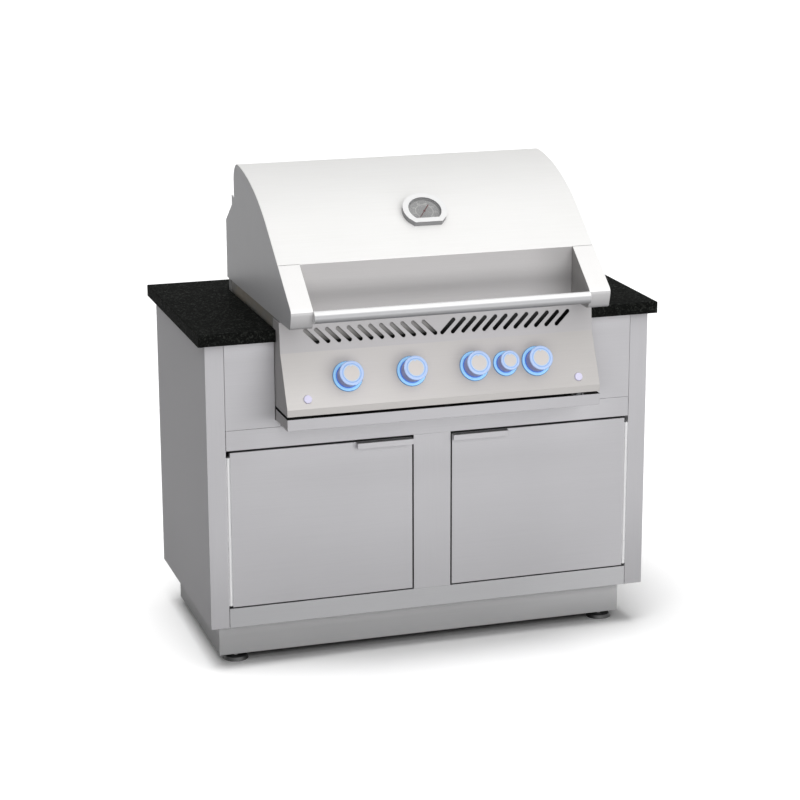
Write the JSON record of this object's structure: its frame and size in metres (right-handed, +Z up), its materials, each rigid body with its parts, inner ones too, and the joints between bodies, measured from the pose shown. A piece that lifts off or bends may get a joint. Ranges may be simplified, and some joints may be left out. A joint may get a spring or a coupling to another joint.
{
  "type": "outdoor kitchen module",
  "caption": "Stainless outdoor kitchen cabinet with hinged doors, a black granite worktop and a built-in gas grill under a curved swing-up hood.",
  "frame": {"origin": "on the floor under the middle of the object's bounding box", "axes": "+X to the right as seen from the front, +Y to the back, +Z up; the doors and knobs face -Y"},
  "size_m": [1.202, 0.7745, 1.2291],
  "materials": {
    "stainless": "satin",
    "firebox_steel": "satin",
    "granite": "polished",
    "hood_casting": "satin",
    "knob_metal": "satin",
    "lit_ring": "gloss",
    "grid_iron": "matte",
    "brass": "satin",
    "pipe_steel": "satin",
    "ceramic": "matte",
    "black_plastic": "matte",
    "button_plastic": "gloss",
    "foot_plastic": "matte",
    "bezel_chrome": "polished",
    "dial_white": "matte",
    "needle_red": "satin",
    "clear_glass": "gloss"
  },
  "bodies": {
    "cabinet": {"left_side_panel": "stainless", "right_side_panel": "stainless", "front_rails": "stainless", "mullion": "stainless", "fascia_panels": "stainless", "back_panel": "stainless", "floor_tray": "stainless", "grill_shelf": "stainless", "plinth": "stainless", "worktop": "granite", "post_left_hinge_leaf": "stainless", "post_right_hinge_leaf": "stainless", "door_catches": "black_plastic", "firebox": "firebox_steel", "grill_cradle": "stainless", "rear_housing": "stainless", "control_panel": "stainless", "knob_light_rings": "lit_ring", "gas_valves": "brass", "gas_pipes": "pipe_steel", "button_housings": "black_plastic", "cooking_grids": "grid_iron", "flame_tamers": "firebox_steel", "burner_tubes": "firebox_steel", "rear_burner": "ceramic", "warming_rack": "firebox_steel"},
    "door_left": {"door_left_skin": "stainless", "door_left_liner": "stainless", "door_left_pull": "stainless", "door_left_hinge_leaf": "stainless"},
    "door_right": {"door_right_skin": "stainless", "door_right_liner": "stainless", "door_right_pull": "stainless", "door_right_hinge_leaf": "stainless"},
    "hood": {"hood_shell": "stainless", "hood_end_left": "hood_casting", "hood_end_right": "hood_casting", "handle_bar": "stainless", "hood_pivot_studs": "stainless", "thermometer_bezel": "bezel_chrome", "thermometer_dial": "dial_white", "thermometer_glass": "clear_glass"},
    "thermometer_needle": {"thermometer_needle": "needle_red"},
    "drip_tray": {"drip_tray": "stainless"},
    "valve_plug_1": {"valve_plug_1": "brass"},
    "knob_1": {"knob_1": "knob_metal"},
    "valve_plug_2": {"valve_plug_2": "brass"},
    "knob_2": {"knob_2": "knob_metal"},
    "valve_plug_3": {"valve_plug_3": "brass"},
    "knob_3": {"knob_3": "knob_metal"},
    "valve_plug_4": {"valve_plug_4": "brass"},
    "knob_4": {"knob_4": "knob_metal"},
    "valve_plug_5": {"valve_plug_5": "brass"},
    "knob_5": {"knob_5": "knob_metal"},
    "button_left": {"button_left": "button_plastic"},
    "button_right": {"button_right": "button_plastic"},
    "foot_front_left": {"foot_front_left": "foot_plastic"},
    "foot_front_right": {"foot_front_right": "foot_plastic"},
    "foot_rear_left": {"foot_rear_left": "foot_plastic"},
    "foot_rear_right": {"foot_rear_right": "foot_plastic"}
  },
  "joints": [
    {"name": "hood_swing", "type": "hinge", "parent": "cabinet", "child": "hood", "pos_m": [0, 0.19775, 1.127], "axis": [-1, 0, 0], "range_deg": [0, 95]},
    {"name": "door_left_swing", "type": "hinge", "parent": "cabinet", "child": "door_left", "pos_m": [-0.5295, -0.20325, 0.37115], "axis": [0, 0, -1], "range_deg": [0, 115]},
    {"name": "door_right_swing", "type": "hinge", "parent": "cabinet", "child": "door_right", "pos_m": [0.5295, -0.20325, 0.37115], "axis": [0, 0, 1], "range_deg": [0, 115]},
    {"name": "drip_tray_slide", "type": "slide", "parent": "cabinet", "child": "drip_tray", "axis": [0, -1, 0], "range_m": [0, 0.38]},
    {"name": "thermometer_turn", "type": "hinge", "parent": "hood", "child": "thermometer_needle", "pos_m": [0, -0.1425, 1.13613], "axis": [0, 0.5676, -0.8233], "range_deg": [0, 285], "stiffness_Nm_per_rad": 0.002},
    {"name": "knob_1_turn", "type": "hinge", "parent": "cabinet", "child": "valve_plug_1", "pos_m": [-0.24525, -0.28894, 0.76642], "axis": [0, -0.9036, 0.4283], "range_deg": [0, 160]},
    {"name": "knob_1_push", "type": "slide", "parent": "valve_plug_1", "child": "knob_1", "axis": [0, 0.9036, -0.4283], "range_m": [0, 0.0035], "stiffness_N_per_m": 1000, "springref_m": -0.004},
    {"name": "knob_2_turn", "type": "hinge", "parent": "cabinet", "child": "valve_plug_2", "pos_m": [-0.08175, -0.28894, 0.76642], "axis": [0, -0.9036, 0.4283], "range_deg": [0, 160]},
    {"name": "knob_2_push", "type": "slide", "parent": "valve_plug_2", "child": "knob_2", "axis": [0, 0.9036, -0.4283], "range_m": [0, 0.0035], "stiffness_N_per_m": 1000, "springref_m": -0.004},
    {"name": "knob_3_turn", "type": "hinge", "parent": "cabinet", "child": "valve_plug_3", "pos_m": [0.08175, -0.28894, 0.76642], "axis": [0, -0.9036, 0.4283], "range_deg": [0, 160]},
    {"name": "knob_3_push", "type": "slide", "parent": "valve_plug_3", "child": "knob_3", "axis": [0, 0.9036, -0.4283], "range_m": [0, 0.0035], "stiffness_N_per_m": 1000, "springref_m": -0.004},
    {"name": "knob_4_turn", "type": "hinge", "parent": "cabinet", "child": "valve_plug_4", "pos_m": [0.1635, -0.28894, 0.76642], "axis": [0, -0.9036, 0.4283], "range_deg": [0, 160]},
    {"name": "knob_4_push", "type": "slide", "parent": "valve_plug_4", "child": "knob_4", "axis": [0, 0.9036, -0.4283], "range_m": [0, 0.0035], "stiffness_N_per_m": 1000, "springref_m": -0.004},
    {"name": "knob_5_turn", "type": "hinge", "parent": "cabinet", "child": "valve_plug_5", "pos_m": [0.24525, -0.28894, 0.76642], "axis": [0, -0.9036, 0.4283], "range_deg": [0, 160]},
    {"name": "knob_5_push", "type": "slide", "parent": "valve_plug_5", "child": "knob_5", "axis": [0, 0.9036, -0.4283], "range_m": [0, 0.0035], "stiffness_N_per_m": 1000, "springref_m": -0.004},
    {"name": "button_left_push", "type": "slide", "parent": "cabinet", "child": "button_left", "axis": [0, 0.9036, -0.4283], "range_m": [0, 0.002], "stiffness_N_per_m": 600, "springref_m": -0.002},
    {"name": "button_right_push", "type": "slide", "parent": "cabinet", "child": "button_right", "axis": [0, 0.9036, -0.4283], "range_m": [0, 0.002], "stiffness_N_per_m": 600, "springref_m": -0.002},
    {"name": "foot_front_left_level", "type": "slide", "parent": "cabinet", "child": "foot_front_left", "axis": [0, 0, -1], "range_m": [0, 0.02]},
    {"name": "foot_front_right_level", "type": "slide", "parent": "cabinet", "child": "foot_front_right", "axis": [0, 0, -1], "range_m": [0, 0.02]},
    {"name": "foot_rear_left_level", "type": "slide", "parent": "cabinet", "child": "foot_rear_left", "axis": [0, 0, -1], "range_m": [0, 0.02]},
    {"name": "foot_rear_right_level", "type": "slide", "parent": "cabinet", "child": "foot_rear_right", "axis": [0, 0, -1], "range_m": [0, 0.02]}
  ]
}
